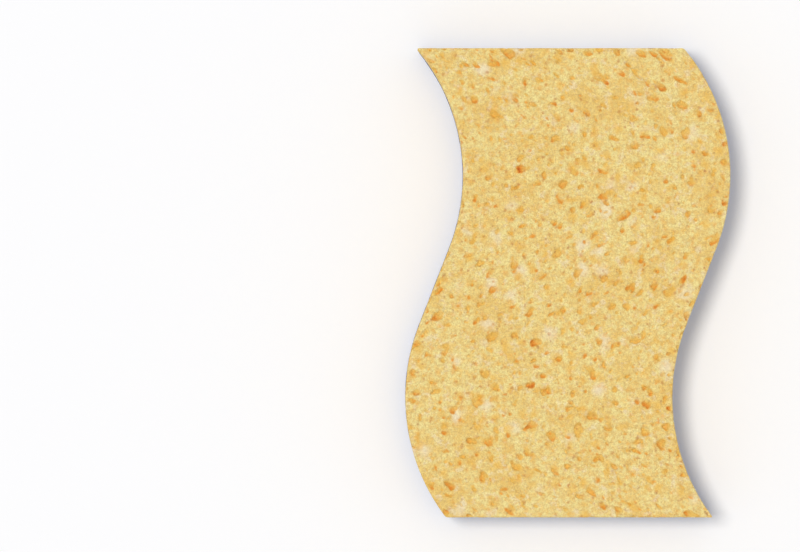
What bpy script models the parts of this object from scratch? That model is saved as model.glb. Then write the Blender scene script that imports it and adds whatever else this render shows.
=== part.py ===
"""A waved dish sponge: a block of yellow cellulose sponge bonded to a blue scouring pad of needled fibre.

The sponge is cut from a long bonded strip by a waved knife. Its two ends are the strip's straight edges,
and its two long sides are the same wave one pitch apart, so no offcut is left between two sponges.
X runs across the sponge, Y along it and Z through it, with the pad underneath, all in metres.
"""

import math
import random

import bmesh
import bpy
from mathutils import Euler, Matrix, Vector

# The bonded strip that the sponges are cut from
STRIP_WIDTH = 0.125  # between the two straight ends
SPONGE_THICKNESS = 0.020
PAD_THICKNESS = 0.007
BOND_GAP = 0.0003  # the bond line between the sponge and its pad

# The knife's wave, which both long sides follow
CUT_PITCH = 0.0712  # from one cut to the next, across the sponge
WAVE_DEPTH = 0.0154  # from the crest to the trough, across the sponge
WAVE_SPAN = 0.0592  # from the crest to the trough, along the sponge
WAVE_STRAIGHT = 0.0225  # the straight run between the crest's arc and the trough's
WAVE_SHIFT = -0.0010  # from the strip's middle to the wave's
STEEPEST_CUT = math.radians(58)  # the knife never turns further from the sponge's length
OUTLINE_STEP = 0.0050  # between two points of the outline

# The rounding where the cut sides meet the two outer faces
SPONGE_EDGE = 0.0006
PAD_EDGE = 0.0012
EDGE_SEGMENTS = 2

# The open cells of the cellulose, largest first. Each size has the narrowest and widest mouth, the number
# on each square metre of cut face, the least sponge left between it and any other cell so far, and the
# facets round a cell and down it.
CELL_SIZES = (
    {"name": "large", "mouth": (0.0025, 0.0038), "density": 4300, "apart": 0.0034, "facets": (8, 5)},
    {"name": "medium", "mouth": (0.0017, 0.0024), "density": 5900, "apart": 0.0013, "facets": (6, 4)},
    {"name": "small", "mouth": (0.0011, 0.0015), "density": 3700, "apart": 0.0006, "facets": (6, 3)},
)
CELL_STRETCH = 1.6  # the longest mouth for its width
CELL_DEPTH = (0.38, 0.62)  # a cell's depth for its mouth
CELL_SINK = (0.05, 0.30)  # its widest level below the cut face, for its depth
CELL_LEAN = math.radians(20)
CELL_RAGGED = 0.16  # how far a mouth's corners stray from an ellipse
CELL_SEED = 11
TRIES_PER_CELL = 30

BODY_BOTTOM = PAD_THICKNESS + BOND_GAP
BODY_TOP = BODY_BOTTOM + SPONGE_THICKNESS


def clear_scene():
    for obj in list(bpy.data.objects):
        bpy.data.objects.remove(obj)


def new_collection(name):
    collection = bpy.data.collections.new(name)
    bpy.context.scene.collection.children.link(collection)
    return collection


def new_material(name, colour, roughness):
    material = bpy.data.materials.new(name)
    material.use_nodes = True
    shader = material.node_tree.nodes["Principled BSDF"]
    shader.inputs["Base Color"].default_value = (*colour, 1.0)
    shader.inputs["Roughness"].default_value = roughness
    shader.inputs["Metallic"].default_value = 0.0
    return material


def cut_radius():
    """The radius of the crest's arc, and of the trough's, that the straight run touches."""
    return (WAVE_DEPTH**2 + WAVE_SPAN**2 - WAVE_STRAIGHT**2) / (4 * WAVE_DEPTH)


def fall_from_crest(distance):
    """How far across the sponge the cut has fallen, this far along from the crest."""
    radius = cut_radius()
    on_arc = min(abs(distance), radius * math.sin(STEEPEST_CUT))
    past_arc = abs(distance) - on_arc
    return radius - math.sqrt(radius**2 - on_arc**2) + past_arc * math.tan(STEEPEST_CUT)


def wave(y):
    """The cut's place across the sponge at y, from the middle of the wave's depth."""
    radius = cut_radius()
    lean = math.atan2(2 * radius, WAVE_STRAIGHT) - math.atan2(2 * radius - WAVE_DEPTH, WAVE_SPAN)
    along = y - WAVE_SHIFT
    if abs(along) < WAVE_STRAIGHT * math.cos(lean) / 2:
        return along * math.tan(lean)
    height = WAVE_DEPTH / 2 - fall_from_crest(abs(along) - WAVE_SPAN / 2)
    return height if along > 0 else -height


def outline():
    """The sponge's plan, anticlockwise: one cut from end to end, and the next one back."""
    steps = math.ceil(STRIP_WIDTH / OUTLINE_STEP)
    stations = [STRIP_WIDTH * (step / steps - 0.5) for step in range(steps + 1)]
    right = [(wave(y) + CUT_PITCH / 2, y) for y in stations]
    left = [(wave(y) - CUT_PITCH / 2, y) for y in reversed(stations)]
    return right + left


def waved_slab(name, bottom, thickness, edge, outer_z, collection, material):
    """A slab of the sponge's plan, rounded only where its sides meet its outer face."""
    points = outline()
    curve = bpy.data.curves.new(name + "_plan", "CURVE")
    curve.dimensions = "2D"
    curve.fill_mode = "BOTH"
    curve.extrude = thickness / 2
    spline = curve.splines.new("POLY")
    spline.points.add(len(points) - 1)
    for point, (x, y) in zip(spline.points, points):
        point.co = (x, y, 0.0, 1.0)
    spline.use_cyclic_u = True
    plan = bpy.data.objects.new(name + "_plan", curve)
    plan.location.z = bottom + thickness / 2
    collection.objects.link(plan)
    bpy.context.view_layer.update()

    evaluated = plan.evaluated_get(bpy.context.evaluated_depsgraph_get())
    mesh = bpy.data.meshes.new_from_object(evaluated)
    mesh.name = name
    mesh.transform(plan.matrix_world)
    bpy.data.objects.remove(plan)

    solid = bmesh.new()
    solid.from_mesh(mesh)
    bmesh.ops.remove_doubles(solid, verts=solid.verts, dist=1e-6)
    bmesh.ops.recalc_face_normals(solid, faces=solid.faces)
    rim = [
        each
        for each in solid.edges
        if all(abs(vert.co.z - outer_z) < 1e-6 for vert in each.verts)
        and each.calc_face_angle(0.0) > math.radians(45)
    ]
    bmesh.ops.bevel(
        solid,
        geom=rim,
        offset=edge,
        offset_type="OFFSET",
        segments=EDGE_SEGMENTS,
        profile=0.5,
        affect="EDGES",
        material=-1,
    )
    solid.to_mesh(mesh)
    solid.free()

    slab = bpy.data.objects.new(name, mesh)
    slab.data.materials.append(material)
    collection.objects.link(slab)
    return slab


def outward(across, along, up):
    return Vector((across, along, up)).normalized()


def side_normal(y, side):
    """The way a waved side faces at y: side is 1 on the right and -1 on the left."""
    step = OUTLINE_STEP / 2
    slope = (wave(y + step) - wave(y - step)) / (2 * step)
    return outward(side, -side * slope, 0.0)


def top_spot(rng, mouth):
    y = rng.uniform(-0.5, 0.5) * STRIP_WIDTH
    x = wave(y) + rng.uniform(-0.5, 0.5) * CUT_PITCH
    return Vector((x, y, BODY_TOP)), outward(0, 0, 1)


def wall_height(rng, mouth):
    """A height on a cut side that keeps the cell clear of the bonded face."""
    return rng.uniform(BODY_BOTTOM + mouth * CELL_STRETCH, BODY_TOP)


def side_spot(rng, mouth):
    y = rng.uniform(-0.5, 0.5) * STRIP_WIDTH
    side = rng.choice((-1, 1))
    x = wave(y) + side * CUT_PITCH / 2
    return Vector((x, y, wall_height(rng, mouth))), side_normal(y, side)


def end_spot(rng, mouth):
    end = rng.choice((-1, 1))
    y = end * STRIP_WIDTH / 2
    x = wave(y) + rng.uniform(-0.5, 0.5) * CUT_PITCH
    return Vector((x, y, wall_height(rng, mouth))), outward(0, end, 0)


def cut_faces():
    """Each cut face with its area, as the function that picks a spot on it."""
    steps = len(outline()) // 2 - 1
    run = STRIP_WIDTH / steps
    stations = [STRIP_WIDTH * (step / steps - 0.5) for step in range(steps)]
    side_length = sum(math.hypot(run, wave(y + run) - wave(y)) for y in stations)
    return (
        (top_spot, CUT_PITCH * STRIP_WIDTH),
        (side_spot, 2 * side_length * SPONGE_THICKNESS),
        (end_spot, 2 * CUT_PITCH * SPONGE_THICKNESS),
    )


def new_cell(pick, size, rng):
    """A cell on one cut face, as its ellipsoid's placing and how far that reaches from its centre."""
    mouth = rng.uniform(*size["mouth"])
    length = mouth * rng.uniform(1.0, CELL_STRETCH)
    depth = mouth * rng.uniform(*CELL_DEPTH)
    place, facing = pick(rng, mouth)
    centre = place - facing * depth * rng.uniform(*CELL_SINK)
    turned = facing.to_track_quat("Z", "Y").to_matrix().to_4x4()
    lean = rng.uniform(-CELL_LEAN, CELL_LEAN)
    spun = Euler((lean, 0.0, rng.uniform(0.0, math.tau)), "XYZ").to_matrix().to_4x4()
    sized = Matrix.Diagonal((length / 2, mouth / 2, depth, 1.0))
    reach = max(length / 2 * (1.0 + CELL_RAGGED), depth)
    return Matrix.Translation(centre) @ turned @ spun @ sized, reach


def spread_cells(size, cells, rng):
    """Adds the cells of one size, spread over all the cut faces and clear of every cell so far."""
    for pick, area in cut_faces():
        wanted = len(cells) + round(size["density"] * area)
        for _ in range((wanted - len(cells)) * TRIES_PER_CELL):
            if len(cells) == wanted:
                break
            placing, reach = new_cell(pick, size, rng)
            between = [
                (placing.translation - other.translation).length - reach - other_reach
                for other, other_reach, _ in cells
            ]
            if min(between, default=math.inf) > size["apart"]:
                cells.append((placing, reach, size["facets"]))


def ragged(vert, around, reach):
    """Moves a sphere's vertex out or in with its meridian, which leaves the sphere's quads flat."""
    meridian = round(math.atan2(vert.co.y, vert.co.x) / math.tau * around) % around
    return Vector((vert.co.x * reach[meridian], vert.co.y * reach[meridian], vert.co.z))


def cell_cutter(collection):
    """All the open cells as one cutter, whose ellipsoids never touch one another."""
    rng = random.Random(CELL_SEED)
    cells = []
    for size in CELL_SIZES:
        spread_cells(size, cells, rng)
    solid = bmesh.new()
    for placing, _, (around, down) in cells:
        reach = [1.0 + rng.uniform(-CELL_RAGGED, CELL_RAGGED) for _ in range(around)]
        made = bmesh.ops.create_uvsphere(solid, u_segments=around, v_segments=down, radius=1.0)
        for vert in made["verts"]:
            vert.co = placing @ ragged(vert, around, reach)
    bmesh.ops.recalc_face_normals(solid, faces=solid.faces)
    mesh = bpy.data.meshes.new("open_cells")
    solid.to_mesh(mesh)
    solid.free()
    cutter = bpy.data.objects.new("open_cells", mesh)
    cutter.hide_render = True
    cutter.display_type = "WIRE"
    collection.objects.link(cutter)
    return cutter


def sponge_body(collection, cutters):
    cellulose = new_material("cellulose", (0.86, 0.64, 0.24), 0.9)
    body = waved_slab(
        "sponge_body", BODY_BOTTOM, SPONGE_THICKNESS, SPONGE_EDGE, BODY_TOP, collection, cellulose
    )
    cells = body.modifiers.new("open_cells", "BOOLEAN")
    cells.operation = "DIFFERENCE"
    cells.solver = "EXACT"
    cells.object = cell_cutter(cutters)
    return body


def scouring_pad(collection):
    fibre = new_material("scouring_fibre", (0.018, 0.063, 0.27), 0.95)
    return waved_slab("scouring_pad", 0.0, PAD_THICKNESS, PAD_EDGE, 0.0, collection, fibre)


def build():
    clear_scene()
    parts = new_collection("dish_sponge")
    cutters = new_collection("cutters")
    scouring_pad(parts)
    sponge_body(parts, cutters)


build()
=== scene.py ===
import math

import bmesh
import bpy
import numpy as np
from mathutils import Euler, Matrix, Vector, noise


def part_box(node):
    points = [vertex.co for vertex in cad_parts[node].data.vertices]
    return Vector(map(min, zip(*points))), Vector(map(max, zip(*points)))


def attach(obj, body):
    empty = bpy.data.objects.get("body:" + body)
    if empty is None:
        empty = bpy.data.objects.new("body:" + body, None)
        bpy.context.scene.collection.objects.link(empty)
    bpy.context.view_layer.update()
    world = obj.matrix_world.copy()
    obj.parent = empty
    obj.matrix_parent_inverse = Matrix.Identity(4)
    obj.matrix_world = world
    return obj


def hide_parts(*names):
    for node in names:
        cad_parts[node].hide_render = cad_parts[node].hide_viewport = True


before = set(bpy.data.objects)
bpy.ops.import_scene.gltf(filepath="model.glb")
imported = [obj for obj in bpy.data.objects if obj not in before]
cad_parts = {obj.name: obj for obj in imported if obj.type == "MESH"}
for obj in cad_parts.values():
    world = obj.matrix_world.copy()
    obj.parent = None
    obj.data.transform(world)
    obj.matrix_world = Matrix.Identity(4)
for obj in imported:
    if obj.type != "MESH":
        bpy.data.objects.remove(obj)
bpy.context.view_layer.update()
body_low, body_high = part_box("sponge_body")


# The stage is a white table top under an even studio light, with a camera that looks straight down on
# the sponge's open face. The sponge lies right of the middle, as it does in the photograph.
PHOTO_WIDTH = 0.2130  # what the photograph's full width covers at the sponge's face
PHOTO_CENTRE = (-0.0447, 0.0018)  # the middle of the photograph, from the middle of the sponge
CAMERA_LENS = 500.0
SENSOR_WIDTH = 36.0
CAMERA_REACH = 20.0
TABLE_SIZE = 9.0
TABLE_COLOUR = (251, 251, 252)
KEY_TURN = math.radians(160)  # where the key light stands round the sponge: on its left, a little beyond
KEY_HEIGHT = math.radians(80)
KEY_SPREAD = math.radians(11)
KEY_STRENGTH = 1.62
KEY_COLOUR = (1.0, 0.987, 0.957)
SKY_STRENGTH = 0.535
SKY_COLOUR = (0.955, 0.965, 1.0, 1.0)
TABLE_GLOW = 0.10  # the share of white in what the camera sees of the table


def linear(red, green, blue):
    """A screen colour from 0 to 255 as the linear colour that a shader takes."""
    shares = [value / 255 for value in (red, green, blue)]
    return tuple(s / 12.92 if s <= 0.04045 else ((s + 0.055) / 1.055) ** 2.4 for s in shares) + (1.0,)


def new_material(name, roughness, specular):
    """A material of this name, its node tree, and its shader with the sheen set."""
    material = bpy.data.materials.new(name)
    material.use_nodes = True
    shader = material.node_tree.nodes["Principled BSDF"]
    shader.inputs["Roughness"].default_value = roughness
    shader.inputs["Specular IOR Level"].default_value = specular
    return material, material.node_tree, shader


camera = bpy.data.objects.new("camera", bpy.data.cameras.new("camera"))
camera.data.lens = CAMERA_LENS
camera.data.sensor_width = SENSOR_WIDTH
camera.data.clip_end = CAMERA_REACH
camera_height = body_high.z + PHOTO_WIDTH * CAMERA_LENS / SENSOR_WIDTH
camera.location = (*PHOTO_CENTRE, camera_height)
bpy.context.scene.collection.objects.link(camera)
bpy.context.scene.camera = camera

key = bpy.data.objects.new("key_light", bpy.data.lights.new("key_light", "SUN"))
key.data.energy = KEY_STRENGTH
key.data.color = KEY_COLOUR
key.data.angle = KEY_SPREAD
key.rotation_euler = (0.0, math.pi / 2 - KEY_HEIGHT, KEY_TURN)
bpy.context.scene.collection.objects.link(key)

sky = bpy.data.worlds.new("studio")
sky.use_nodes = True
sky.node_tree.nodes["Background"].inputs["Color"].default_value = SKY_COLOUR
sky.node_tree.nodes["Background"].inputs["Strength"].default_value = SKY_STRENGTH
bpy.context.scene.world = sky
bpy.context.scene.view_settings.view_transform = "Standard"

table_top = bmesh.new()
bmesh.ops.create_grid(table_top, x_segments=1, y_segments=1, size=TABLE_SIZE / 2)
table = bpy.data.objects.new("table_top", bpy.data.meshes.new("table_top"))
table_top.to_mesh(table.data)
table_top.free()
bpy.context.scene.collection.objects.link(table)
table_white, tree, shader = new_material("table_white", roughness=0.9, specular=0.0)
shader.inputs["Base Color"].default_value = linear(*TABLE_COLOUR)
glow = tree.nodes.new("ShaderNodeEmission")
rays = tree.nodes.new("ShaderNodeLightPath")
seen = tree.nodes.new("ShaderNodeMath")
seen.operation = "MULTIPLY"
seen.inputs[1].default_value = TABLE_GLOW
lit = tree.nodes.new("ShaderNodeMixShader")
tree.links.new(rays.outputs["Is Camera Ray"], seen.inputs[0])
tree.links.new(seen.outputs[0], lit.inputs["Fac"])
tree.links.new(shader.outputs["BSDF"], lit.inputs[1])
tree.links.new(glow.outputs["Emission"], lit.inputs[2])
tree.links.new(lit.outputs["Shader"], tree.nodes["Material Output"].inputs["Surface"])
table.data.materials.append(table_white)


# The sponge is one block of regenerated cellulose, foamed round salt crystals and fibres and sawn into
# slabs, so every cut face is open cells of all sizes. A waved knife parts it from its neighbours.
WAVE_DEPTH = 0.0154
WAVE_SPAN = 0.0592
WAVE_STRAIGHT = 0.0225
WAVE_SHIFT = -0.0010
BLOCK_SIZE = Vector(
    (body_high.x - body_low.x - WAVE_DEPTH, body_high.y - body_low.y, body_high.z - body_low.z)
)
BLOCK_STEP = 0.00027
BLOCK_EDGE = 0.0005
TURNING_EDGE = 0.0030  # how near an edge the cells begin to open both ways
SURFACE_START = 0.98  # of an edge's radius, from which a point lies on a cut face
BODY_TRIANGLES = 196000

# Cells of one size: the least and greatest radius in metres, how many there are on a square centimetre,
# how deep they go for their radius, and how strongly their walls take painted shade.
CELLS = (
    ((0.00110, 0.00180), 2.00, (0.22, 0.42), (0.50, 1.00)),
    ((0.00095, 0.00150), 1.60, (0.12, 0.24), (0.40, 1.00)),
    ((0.00060, 0.00095), 4.80, (0.20, 0.60), (0.40, 1.00)),
    ((0.00036, 0.00060), 7.50, (0.30, 0.90), (0.15, 0.95)),
)
SQUARE_CENTIMETRES = 1e4  # in a square metre
MOSTLY_SMALL = 1.6  # the higher, the more cells of a size are near its least radius
CELL_STRETCH = (0.75, 2.0)
CELL_SINK = (-0.45, 0.30)  # of a cell's middle into the foam, for its depth
CELL_HEADING = math.radians(78)  # the cells lead down into the foam this way round a face
CELL_SWERVE = math.radians(32)
CELL_DIP = (math.radians(8), math.radians(34))
TWINNED = 0.35  # the share of cells that have run together with a smaller neighbour
TWIN_APART = 0.9
TWIN_SIZE = (0.5, 0.9)
INNER_CELLS = 3  # smaller cells that open into the wall of a large one
INNER_FROM = 0.00060  # the least half length of a cell that has them
INNER_PLACE = 0.85
INNER_SIZE = (0.20, 0.42)
INNER_PAINTED_SHADE = (0.2, 0.9)
LEAD_START = 0.35  # how far behind a cell's middle its painted shade begins, for its length
RIM_START = 0.25  # the square of how far out its rim begins, for its radius
RIM_WIDTH = 0.6
FLOOR_PAINTED_SHADE = 0.45  # of the painted shade at its rim
PLACE_TRIES = 6  # random places for a cell, of which it takes the roomiest
CELL_SEED = 7
OUTLINE_STRAYS = ((0.00060, 0.0018, 1), (0.00026, 0.0007, 2))  # how far, over what length, and the seed
FACE_DIPS = (0.00012, 0.006, 3)


def wave(y):
    """The waved cut's place across the sponge at y."""
    radius = (WAVE_DEPTH**2 + WAVE_SPAN**2 - WAVE_STRAIGHT**2) / (4 * WAVE_DEPTH)
    lean = math.atan2(2 * radius, WAVE_STRAIGHT) - math.atan2(2 * radius - WAVE_DEPTH, WAVE_SPAN)
    along = y - WAVE_SHIFT
    from_crest = np.abs(along) - WAVE_SPAN / 2
    arc = np.sign(along) * (WAVE_DEPTH / 2 - radius + np.sqrt(radius**2 - from_crest**2))
    on_straight = np.abs(along) < WAVE_STRAIGHT / 2 * math.cos(lean)
    return np.where(on_straight, along * math.tan(lean), arc)


def fine_block(name, size, step):
    """A box of this size round the origin, with all its faces in a fine grid."""
    block = bmesh.new()
    bmesh.ops.create_cube(block, size=1.0)
    bmesh.ops.scale(block, vec=size, verts=block.verts)
    for axis in range(3):
        runs = [
            edge
            for edge in block.edges
            if abs(edge.verts[0].co[axis] - edge.verts[1].co[axis]) > size[axis] / 2
        ]
        cuts = round(size[axis] / step) - 1
        bmesh.ops.subdivide_edges(block, edges=runs, cuts=cuts, use_grid_fill=True)
    mesh = bpy.data.meshes.new(name)
    block.to_mesh(mesh)
    block.free()
    return mesh


def read_points(mesh):
    points = np.empty(len(mesh.vertices) * 3)
    mesh.vertices.foreach_get("co", points)
    return points.reshape(-1, 3)


def write_points(mesh, points):
    mesh.vertices.foreach_set("co", points.ravel())
    mesh.update()


def from_core(points, size, edge, flat_side):
    """How far each point lies from a block's core, which is the block less its rounded edges."""
    reach = np.array(size) / 2 - edge
    low, high = -reach, reach.copy()
    if flat_side < 0:
        low[2] = -size[2] / 2
    else:
        high[2] = size[2] / 2
    return points - np.clip(points, low, high)


def round_block(points, size, edge, flat_side):
    """Rounds a block's edges, except round its bonded face, and returns its points and normals."""
    out = from_core(points, size, edge, flat_side)
    length = np.linalg.norm(out, axis=1, keepdims=True)
    safe = np.maximum(length, 1e-9)
    rounded = points - out + out * np.minimum(1.0, edge / safe)
    normals = np.where(length > edge * SURFACE_START, out / safe, 0.0)
    return rounded, normals


def wobble(points, reach, grain, seed):
    """A smooth random vector at each point, about this long, with features the size of grain."""
    noise.seed_set(seed)  # unseeded, the noise would start from the clock
    return reach * np.array([noise.noise_vector(Vector(point) / grain) for point in points])


def roomiest(half, axis, side, cells, rng):
    """The random place on a face that lies furthest from the cells so far."""
    places = rng.uniform(-half, half, (PLACE_TRIES, 3))
    places[:, axis] = side * half[axis]
    if not cells:
        return places[0]
    taken = np.array([centre for centre, *_ in cells])
    room = np.linalg.norm(places[:, None] - taken, axis=2).min(1)
    return places[room.argmax()]


def scatter_cells(size, rng):
    """Cells over the five cut faces of a block, a size at a time: each one's centre, turn, radii and
    strength of painted shade."""
    half = np.array(size) / 2
    faces = ((2, 1), (0, 1), (0, -1), (1, 1), (1, -1))
    cells = []
    for (least, greatest), density, deep, shade_strengths in CELLS:
        for axis, side in faces:
            area = np.prod(2 * half) / (2 * half[axis])
            facing = Vector([side * (other == axis) for other in range(3)])
            upright = facing.to_track_quat("Z", "Y")
            for _ in range(round(area * SQUARE_CENTIMETRES * density)):
                centre = roomiest(half, axis, side, cells, rng)
                radius = least + (greatest - least) * rng.random() ** MOSTLY_SMALL
                stretch = rng.uniform(*CELL_STRETCH)
                radii = np.array((radius * stretch, radius / stretch**0.5, radius * rng.uniform(*deep)))
                centre -= np.array(facing) * radii[2] * rng.uniform(*CELL_SINK)
                way = Euler((0.0, rng.uniform(*CELL_DIP), rng.normal(CELL_HEADING, CELL_SWERVE)))
                turn = np.array((upright @ way.to_quaternion()).to_matrix())
                cells.append((centre, turn, radii, rng.uniform(*shade_strengths)))
                if rng.random() < TWINNED:
                    ahead = rng.choice((-TWIN_APART, TWIN_APART))
                    beside = radii * (ahead, rng.uniform(-TWIN_APART, TWIN_APART), 0.0)
                    shrunk = radii * rng.uniform(*TWIN_SIZE)
                    cells.append((centre + turn @ beside, turn, shrunk, rng.uniform(*shade_strengths)))
    return cells


def scatter_inner_cells(cells, rng):
    """Smaller cells on the far walls of the larger ones, which make their floors uneven."""
    inner = []
    for centre, turn, radii, _ in cells:
        if radii[0] < INNER_FROM:
            continue
        for _ in range(INNER_CELLS):
            way = rng.normal(size=3)
            way[2] = -abs(way[2])
            way /= np.linalg.norm(way)
            spot = centre + turn @ (radii * way * INNER_PLACE)
            shrunk = radii[1] * rng.uniform(*INNER_SIZE) * np.ones(3)
            inner.append((spot, turn, shrunk, rng.uniform(*INNER_PAINTED_SHADE)))
    return inner


def bite_cells(points, normals, cells):
    """How deep each point sinks to lie on the far wall of its cells, and how much painted shade it takes
    there, which is most at the rim where a cell leads down into the foam."""
    order = np.argsort(points[:, 1])
    in_order = points[order, 1]
    depth = np.zeros(len(points))
    painted_shade = np.zeros(len(points))
    for centre, turn, radii, strength in cells:
        reach = radii.max()
        first, last = np.searchsorted(in_order, (centre[1] - reach, centre[1] + reach))
        near = order[first:last]
        near = near[(np.abs(points[near, 0] - centre[0]) < reach) & (normals[near] != 0).any(1)]
        place = (points[near] - centre) @ turn / radii
        way = -normals[near] @ turn / radii
        within = 1.0 - (place**2).sum(1)
        near, place, way, within = (each[within > 0] for each in (near, place, way, within))
        along = (place * way).sum(1)
        speed = (way**2).sum(1)
        through = (np.sqrt(along**2 + speed * within) - along) / speed
        wall = place[:, :2] + way[:, :2] * through[:, None]
        lead = np.clip((wall[:, 0] + LEAD_START) / (1.0 + LEAD_START), 0.0, 1.0)
        rim = np.clip(((wall**2).sum(1) - RIM_START) / RIM_WIDTH, 0.0, 1.0)
        deepest = through > depth[near]
        depth[near[deepest]] = through[deepest]
        painted_shade[near[deepest]] = strength * (lead * (FLOOR_PAINTED_SHADE + (1.0 - FLOOR_PAINTED_SHADE) * rim))[deepest]
    return depth, painted_shade


def store(mesh, name, values):
    attribute = mesh.attributes.new(name, "FLOAT", "POINT")
    attribute.data.foreach_set("value", values)


def add_piece(name, mesh, material):
    piece = bpy.data.objects.new(name, mesh)
    piece.data.materials.append(material)
    bpy.context.scene.collection.objects.link(piece)
    return piece


def thin_out(piece, most):
    """Collapses a piece's flattest triangles until no more than this many are left."""
    piece.data.calc_loop_triangles()
    thin = piece.modifiers.new("thin_out", "DECIMATE")
    thin.ratio = min(1.0, most / len(piece.data.loop_triangles))
    thin.use_collapse_triangulate = True
    bpy.context.view_layer.update()
    evaluated = piece.evaluated_get(bpy.context.evaluated_depsgraph_get())
    thinned = bpy.data.meshes.new_from_object(evaluated)
    piece.modifiers.clear()
    piece.data = thinned


def even_out(values, mesh, rounds):
    """Takes each point's value halfway to its neighbours' mean, this many times."""
    ends = np.empty(len(mesh.edges) * 2, dtype=np.int64)
    mesh.edges.foreach_get("vertices", ends)
    first, second = ends.reshape(-1, 2).T
    size = len(values)
    count = np.bincount(ends, minlength=size)
    for _ in range(rounds):
        total = np.bincount(first, values[second], size) + np.bincount(second, values[first], size)
        values = (values + total / count) / 2
    return values


def add_sockets(group, **sockets):
    """Gives a node group these inputs, each named with its kind, and a mask to put out."""
    for name, kind in sockets.items():
        group.interface.new_socket(name, in_out="INPUT", socket_type="NodeSocket" + kind)
    group.interface.new_socket("Mask", in_out="OUTPUT", socket_type="NodeSocketFloat")
    return group.nodes.new("NodeGroupInput"), group.nodes.new("NodeGroupOutput")


def mottle_group():
    """A soft mask of rounded patches: Grain is how many there are to a metre, Share how much they cover.
    The noise lies mostly between a quarter and three quarters, so the level it has to pass does too."""
    group = bpy.data.node_groups.new("mottle", "ShaderNodeTree")
    start, end = add_sockets(group, Vector="Vector", Grain="Float", Share="Float")
    cloud = group.nodes.new("ShaderNodeTexNoise")
    cloud.inputs["Detail"].default_value = 3.0
    cloud.inputs["Roughness"].default_value = 0.6
    level = group.nodes.new("ShaderNodeMath")
    level.operation = "SUBTRACT"
    level.inputs[0].default_value = 0.75
    spread = group.nodes.new("ShaderNodeMath")
    spread.operation = "MULTIPLY"
    spread.inputs[1].default_value = 0.5
    above = group.nodes.new("ShaderNodeMath")
    above.operation = "SUBTRACT"
    soften = group.nodes.new("ShaderNodeMapRange")
    soften.interpolation_type = "SMOOTHSTEP"
    soften.inputs["From Min"].default_value = -0.08
    soften.inputs["From Max"].default_value = 0.11
    group.links.new(start.outputs["Vector"], cloud.inputs["Vector"])
    group.links.new(start.outputs["Grain"], cloud.inputs["Scale"])
    group.links.new(start.outputs["Share"], spread.inputs[0])
    group.links.new(spread.outputs[0], level.inputs[1])
    group.links.new(cloud.outputs["Fac"], above.inputs[0])
    group.links.new(level.outputs[0], above.inputs[1])
    group.links.new(above.outputs[0], soften.inputs["Value"])
    group.links.new(soften.outputs["Result"], end.inputs["Mask"])
    return group


def speck_group():
    """A mask of scattered spots: Grain places to a metre, a Share of them filled, of this Radius in
    places, with outlines this Ragged."""
    group = bpy.data.node_groups.new("specks", "ShaderNodeTree")
    start, end = add_sockets(
        group, Vector="Vector", Grain="Float", Share="Float", Radius="Float", Ragged="Float"
    )
    scaled = group.nodes.new("ShaderNodeVectorMath")
    scaled.operation = "SCALE"
    stray = group.nodes.new("ShaderNodeTexNoise")
    stray.inputs["Scale"].default_value = 2.0
    stray.inputs["Detail"].default_value = 2.0
    centred = group.nodes.new("ShaderNodeVectorMath")
    centred.operation = "SUBTRACT"
    centred.inputs[1].default_value = (0.5, 0.5, 0.5)
    moved = group.nodes.new("ShaderNodeVectorMath")
    moved.operation = "SCALE"
    strayed = group.nodes.new("ShaderNodeVectorMath")
    strayed.operation = "ADD"
    places = group.nodes.new("ShaderNodeTexVoronoi")
    places.inputs["Scale"].default_value = 1.0
    pick = group.nodes.new("ShaderNodeSeparateColor")
    filled = group.nodes.new("ShaderNodeMath")
    filled.operation = "LESS_THAN"
    fade = group.nodes.new("ShaderNodeMapRange")
    fade.interpolation_type = "SMOOTHSTEP"
    fade.inputs["From Min"].default_value = 0.0
    fade.inputs["To Min"].default_value = 1.0
    fade.inputs["To Max"].default_value = 0.0
    both = group.nodes.new("ShaderNodeMath")
    both.operation = "MULTIPLY"
    group.links.new(start.outputs["Vector"], scaled.inputs[0])
    group.links.new(start.outputs["Grain"], scaled.inputs["Scale"])
    group.links.new(scaled.outputs[0], stray.inputs["Vector"])
    group.links.new(stray.outputs["Color"], centred.inputs[0])
    group.links.new(centred.outputs[0], moved.inputs[0])
    group.links.new(start.outputs["Ragged"], moved.inputs["Scale"])
    group.links.new(scaled.outputs[0], strayed.inputs[0])
    group.links.new(moved.outputs[0], strayed.inputs[1])
    group.links.new(strayed.outputs[0], places.inputs["Vector"])
    group.links.new(places.outputs["Color"], pick.inputs["Color"])
    group.links.new(pick.outputs["Red"], filled.inputs[0])
    group.links.new(start.outputs["Share"], filled.inputs[1])
    group.links.new(places.outputs["Distance"], fade.inputs["Value"])
    group.links.new(start.outputs["Radius"], fade.inputs["From Max"])
    group.links.new(filled.outputs[0], both.inputs[0])
    group.links.new(fade.outputs["Result"], both.inputs[1])
    group.links.new(both.outputs[0], end.inputs["Mask"])
    return group


MOTTLE = mottle_group()
SPECKS = speck_group()


def place_group(tree, group, vector, **values):
    """Places an effect in a material, with its own values, and gives its mask."""
    placed = tree.nodes.new("ShaderNodeGroup")
    placed.node_tree = group
    tree.links.new(vector, placed.inputs["Vector"])
    for name, value in values.items():
        placed.inputs[name].default_value = value
    return placed.outputs["Mask"]


def lay_colour(tree, under, mask, colour, strength):
    """Lays a screen colour over another where the mask is, and gives the mix."""
    thin = tree.nodes.new("ShaderNodeMath")
    thin.operation = "MULTIPLY"
    thin.inputs[1].default_value = strength
    mix = tree.nodes.new("ShaderNodeMix")
    mix.data_type = "RGBA"
    tree.links.new(mask, thin.inputs[0])
    tree.links.new(thin.outputs[0], mix.inputs["Factor"])
    if isinstance(under, tuple):
        mix.inputs["A"].default_value = linear(*under)
    else:
        tree.links.new(under, mix.inputs["A"])
    mix.inputs["B"].default_value = linear(*colour)
    return mix.outputs["Result"]


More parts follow.
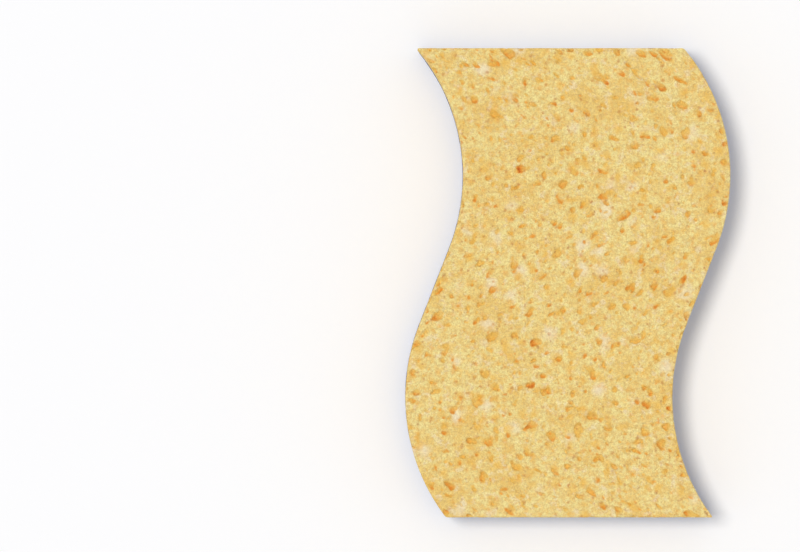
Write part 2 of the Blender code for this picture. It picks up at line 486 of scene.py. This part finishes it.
def lay_mottles(tree, under, place, mottles):
    """Lays soft patches over a colour, each as its grain, share, colour and strength."""
    for grain, share, colour, strength in mottles:
        mask = place_group(tree, MOTTLE, place, Grain=grain, Share=share)
        under = lay_colour(tree, under, mask, colour, strength)
    return under


def lay_specks(tree, under, place, specks):
    """Lays spots over a colour, each kind as its grain, share, radius, raggedness, colour and strength."""
    for grain, share, radius, ragged, colour, strength in specks:
        mask = place_group(tree, SPECKS, place, Grain=grain, Share=share, Radius=radius, Ragged=ragged)
        under = lay_colour(tree, under, mask, colour, strength)
    return under


def lay_depths(tree, under, depth, painted_shades):
    """Lays a cell's painted shade over the surface's colour, each step as the depth or painted wall shade
    it starts and ends at, its colour and strength."""
    for start, end, colour, strength in painted_shades:
        fade = tree.nodes.new("ShaderNodeMapRange")
        fade.interpolation_type = "SMOOTHSTEP"
        fade.inputs["From Min"].default_value = start
        fade.inputs["From Max"].default_value = end
        tree.links.new(depth, fade.inputs["Value"])
        under = lay_colour(tree, under, fade.outputs["Result"], colour, strength)
    return under


def raise_relief(tree, shader, height, distance, strength):
    bump = tree.nodes.new("ShaderNodeBump")
    bump.inputs["Distance"].default_value = distance
    bump.inputs["Strength"].default_value = strength
    tree.links.new(height, bump.inputs["Height"])
    tree.links.new(bump.outputs["Normal"], shader.inputs["Normal"])


body_mesh = fine_block("sponge", BLOCK_SIZE, BLOCK_STEP)
raw = read_points(body_mesh)
_, normals = round_block(raw, BLOCK_SIZE, TURNING_EDGE, -1)
points, _ = round_block(raw, BLOCK_SIZE, BLOCK_EDGE, -1)
rng = np.random.default_rng(CELL_SEED)
stray = sum(wobble(points, *each) for each in OUTLINE_STRAYS)
cells = scatter_cells(BLOCK_SIZE, rng)
depth, painted_shade = bite_cells(points + stray, normals, cells)
sunk = points + stray - normals * depth[:, None]
further, inner_painted_shade = bite_cells(sunk, normals, scatter_inner_cells(cells, rng))
depth = even_out(depth + further, body_mesh, 1)
painted_shade = even_out(np.maximum(painted_shade, inner_painted_shade), body_mesh, 1)
dip = wobble(points, *FACE_DIPS)[:, 0]
points -= normals * (np.maximum(dip, 0.0) + depth)[:, None]
points[:, 0] += wave(points[:, 1])
points[:, 2] += (body_low.z + body_high.z) / 2
write_points(body_mesh, points)

# A cell's floor is painted darker and more orange the deeper it lies, and its leading wall gets a painted
# crescent of shade: both are painted shade. The thinned mesh carries both, in millimetres and as a share.
store(body_mesh, "cell_depth", even_out(depth, body_mesh, 2) * 1000)
store(body_mesh, "cell_painted_shade", even_out(painted_shade, body_mesh, 2))
cellulose, tree, shader = new_material("cellulose", roughness=0.9, specular=0.12)
sponge = add_piece("sponge", body_mesh, cellulose)
thin_out(sponge, BODY_TRIANGLES)
sponge.data.shade_smooth()

place = tree.nodes.new("ShaderNodeTexCoord").outputs["Object"]
depth_reader = tree.nodes.new("ShaderNodeAttribute")
depth_reader.attribute_name = "cell_depth"
painted_shade_reader = tree.nodes.new("ShaderNodeAttribute")
painted_shade_reader.attribute_name = "cell_painted_shade"
colour = lay_mottles(
    tree,
    (255, 236, 159),
    place,
    (
        (620.0, 0.50, (249, 208, 122), 0.62),
        (330.0, 0.34, (247, 197, 102), 0.68),
        (90.0, 0.40, (247, 203, 108), 0.60),
        (450.0, 0.30, (255, 239, 202), 0.58),
        (1350.0, 0.42, (222, 184, 116), 0.52),
        (2600.0, 0.42, (212, 178, 114), 0.42),
    ),
)
# The cream spots are the sponge's own colour. The orange spots stand for faint cells too shallow to model,
# and their orange is painted shade.
colour = lay_specks(
    tree,
    colour,
    place,
    (
        (130.0, 0.55, 0.38, 0.5, (255, 241, 210), 0.66),
        (300.0, 0.38, 0.60, 0.6, (248, 193, 84), 0.68),
        (520.0, 0.38, 0.55, 0.6, (244, 180, 88), 0.55),
    ),
)
# Painted shade in the cells: the deeper a floor lies, the more orange and darker it is painted.
colour = lay_depths(
    tree,
    colour,
    depth_reader.outputs["Fac"],
    (
        (0.02, 0.40, (243, 191, 82), 0.66),
        (0.75, 1.80, (226, 140, 60), 0.68),
    ),
)
# Painted shade on each cell's leading wall: an orange-brown crescent, strongest at the rim.
colour = lay_depths(
    tree,
    colour,
    painted_shade_reader.outputs["Fac"],
    (
        (0.07, 0.42, (238, 156, 62), 0.92),
        (0.38, 0.68, (200, 100, 38), 0.92),
    ),
)
# Pinholes too small to model, painted as dark orange-brown spots: painted shade in the holes.
painted_pinhole_shade = (
    (600.0, 0.13, 0.45, 0.6, (200, 122, 60), 0.60),
    (850.0, 0.07, 0.45, 0.5, (184, 116, 70), 0.55),
    (330.0, 0.05, 0.22, 0.5, (190, 98, 56), 0.65),
)
colour = lay_specks(tree, colour, place, painted_pinhole_shade)
tree.links.new(colour, shader.inputs["Base Color"])
pores = place_group(tree, MOTTLE, place, Grain=1900.0, Share=0.5)
raise_relief(tree, shader, pores, distance=0.00013, strength=0.9)

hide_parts("sponge_body")
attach(sponge, "root")


# The scouring pad is a lofty felt of crimped polyester fibres, needled into one mat and bonded to the
# sponge. It was cut by the same knife, so its sides run on from the sponge's.
FELT_CLEAR = 0.00005  # under the sponge
FELT_LIFT = 0.00030  # of the felt over the table, which its lowest fibres take up
FELT_INSET = 0.00030  # of the felt's sides, which its loose fibres take up
FELT_SIZE = BLOCK_SIZE - Vector((2 * FELT_INSET, 2 * FELT_INSET, 0.0))
FELT_SIZE.z = body_low.z - FELT_CLEAR - FELT_LIFT
FELT_MIDDLE = FELT_LIFT + FELT_SIZE.z / 2
FELT_STEP = 0.00040
FELT_EDGE = 0.0008
FELT_TRIANGLES = 150000
WIDE_LUMPS = (0.00045, 0.0022, 5)  # how high, over what length, and the seed
FINE_LUMPS = (0.00050, 0.0009, 6)
LUMP_SINK = 0.00012

felt_mesh = fine_block("felt", FELT_SIZE, FELT_STEP)
points, normals = round_block(read_points(felt_mesh), FELT_SIZE, FELT_EDGE, 1)
lumps = wobble(points, *WIDE_LUMPS)[:, 0] + wobble(points, *FINE_LUMPS)[:, 1]
points -= normals * np.maximum(lumps + LUMP_SINK, 0.0)[:, None]
points[:, 0] += wave(points[:, 1])
points[:, 2] += FELT_MIDDLE
write_points(felt_mesh, points)
fibre_blue, tree, shader = new_material("scouring_fibre", roughness=0.8, specular=0.15)
felt = add_piece("felt", felt_mesh, fibre_blue)
thin_out(felt, FELT_TRIANGLES)
felt.data.shade_smooth()

place = tree.nodes.new("ShaderNodeTexCoord").outputs["Object"]
shade_reader = tree.nodes.new("ShaderNodeAttribute")
shade_reader.attribute_name = "fibre_shade"
# The felt under the loose fibres is painted a darker blue than they are: painted shade in the gaps between
# the fibres.
colour = lay_colour(tree, (18, 55, 136), shade_reader.outputs["Fac"], (76, 132, 224), 0.85)
colour = lay_mottles(
    tree,
    colour,
    place,
    (
        (800.0, 0.40, (9, 37, 108), 0.64),
        (200.0, 0.40, (20, 56, 138), 0.45),
        (1500.0, 0.30, (52, 104, 194), 0.45),
    ),
)
colour = lay_specks(
    tree,
    colour,
    place,
    (
        (380.0, 0.30, 0.46, 0.7, (48, 24, 62), 0.85),
        (520.0, 0.16, 0.42, 0.8, (20, 26, 88), 0.65),
    ),
)
tree.links.new(colour, shader.inputs["Base Color"])
tufts = place_group(tree, MOTTLE, place, Grain=1800.0, Share=0.5)
raise_relief(tree, shader, tufts, distance=0.00015, strength=0.8)

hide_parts("scouring_pad")
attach(felt, "root")


# The felt's outermost fibres lie loose on its underside and its cut sides, crimped and crossing each
# other. Those of the underside that reach its edge turn up the side.
FIBRE_RADIUS = 0.00008
FIBRE_POINTS = 8
FIBRE_STRIDE = 0.0010
FIBRE_CRIMP = math.radians(44)
CRIMP_KEPT = 0.5
FIBRE_BEND = 0.12
FIBRE_LIFT = (-0.00006, 0.00026)
LIFT_WAVER = 0.00005
TABLE_GAP = 1.1  # how high a fibre's middle stays over the table, for its radius
WELD = 1e-7
FIBRE_TOP = 0.00010  # between the highest fibres and the sponge
FIBRE_SHADE = (0.10, 1.0)
FIBRES_EACH = 3300
FIBRE_SEED = 23
fibre_rng = np.random.default_rng(FIBRE_SEED)


def crimped_paths(starts, headings):
    """Flat wandering paths from these starts, as (fibre, point, 2)."""
    turns = fibre_rng.normal(0.0, FIBRE_CRIMP, (len(starts), FIBRE_POINTS - 1)).cumsum(1)
    bend = fibre_rng.normal(0.0, FIBRE_BEND, (len(starts), 1)) * np.arange(FIBRE_POINTS - 1)
    angles = headings[:, None] + turns * CRIMP_KEPT + bend
    steps = FIBRE_STRIDE * np.stack((np.cos(angles), np.sin(angles)), axis=2)
    return np.concatenate((starts[:, None], starts[:, None] + steps.cumsum(1)), axis=1)


def lifts(count):
    """How far each point of each fibre stands off the felt."""
    level = fibre_rng.uniform(*FIBRE_LIFT, (count, 1))
    return level + fibre_rng.uniform(-LIFT_WAVER, LIFT_WAVER, (count, FIBRE_POINTS))


def hug_felt(paths, lift):
    """Draws paths in to the felt's faces and rounded edges, each point this far off them."""
    points = paths.reshape(-1, 3)
    out = from_core(points, FELT_SIZE, FELT_EDGE, 1)
    reach = np.linalg.norm(out, axis=1, keepdims=True)
    return (points - out + out / reach * (FELT_EDGE + lift.reshape(-1, 1))).reshape(paths.shape)


def underside_fibres(count):
    """Fibres all over the underside, of which those that cross its edge turn up the side."""
    half = np.array(FELT_SIZE) / 2
    starts = fibre_rng.uniform(-half[:2], half[:2], (count, 2))
    flat = crimped_paths(starts, fibre_rng.uniform(0, math.tau, count))
    beyond = (np.abs(flat) - half[:2]).max(2)
    height = np.clip(beyond, 0.0, 2 * half[2] - FIBRE_TOP) - half[2]
    kept = np.clip(flat, -half[:2], half[:2])
    return hug_felt(np.concatenate((kept, height[:, :, None]), axis=2), lifts(count))


def turn_back(values, low, high):
    """Values past a limit, turned back inside it."""
    return low + (high - low) - np.abs((high - low) - np.abs(values - low))


def side_fibres(count):
    """Fibres all over the four cut sides, which stay on them."""
    half = np.array(FELT_SIZE) / 2
    lengths = np.array((half[1], half[1], half[0], half[0]))
    walls = fibre_rng.choice(4, count, p=lengths / lengths.sum())
    long = lengths[walls]
    starts = np.stack((fibre_rng.uniform(-long, long), fibre_rng.uniform(-half[2], half[2], count)), axis=1)
    flat = crimped_paths(starts, fibre_rng.uniform(0, math.tau, count))
    along = turn_back(flat[:, :, 0], -long[:, None], long[:, None])
    up = turn_back(flat[:, :, 1], FELT_EDGE / 2 - half[2], half[2] - FIBRE_TOP)
    side = np.where(walls % 2 == 0, 1.0, -1.0)[:, None]
    on_cut = (walls < 2)[:, None]
    across = np.where(on_cut, side * half[0], along)
    lengthwise = np.where(on_cut, along, side * half[1])
    return hug_felt(np.stack((across, lengthwise, up), axis=2), lifts(count))


def lay_fibres(name, paths):
    """Fibres along these paths through the unwaved felt, as one piece."""
    paths = paths.copy()
    paths[:, :, 0] += wave(paths[:, :, 1])
    paths[:, :, 2] = np.maximum(paths[:, :, 2] + FELT_MIDDLE, FIBRE_RADIUS * TABLE_GAP)
    curve = bpy.data.curves.new(name, "CURVE")
    curve.dimensions = "3D"
    curve.bevel_depth = FIBRE_RADIUS
    curve.bevel_resolution = 0
    curve.use_fill_caps = True
    points = np.concatenate((paths, np.ones(paths.shape[:2] + (1,))), axis=2)
    for path in points:
        spline = curve.splines.new("POLY")
        spline.points.add(FIBRE_POINTS - 1)
        spline.points.foreach_set("co", path.ravel())
    guide = bpy.data.objects.new(name + "_paths", curve)
    bpy.context.scene.collection.objects.link(guide)
    bpy.context.view_layer.update()
    mesh = bpy.data.meshes.new_from_object(guide.evaluated_get(bpy.context.evaluated_depsgraph_get()))
    bpy.data.objects.remove(guide)
    tubes = bmesh.new()
    tubes.from_mesh(mesh)
    bmesh.ops.remove_doubles(tubes, verts=tubes.verts, dist=WELD)
    bmesh.ops.recalc_face_normals(tubes, faces=tubes.faces)
    tubes.to_mesh(mesh)
    tubes.free()
    mesh.materials.clear()
    shades = fibre_rng.uniform(*FIBRE_SHADE, len(paths))
    store(mesh, "fibre_shade", np.repeat(shades, len(mesh.vertices) // len(paths)))
    mesh.shade_smooth()
    fibres = add_piece(name, mesh, fibre_blue)
    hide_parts("scouring_pad")
    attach(fibres, "root")


lay_fibres("underside_fibres_1", underside_fibres(FIBRES_EACH))
lay_fibres("underside_fibres_2", underside_fibres(FIBRES_EACH))
lay_fibres("side_fibres", side_fibres(FIBRES_EACH))
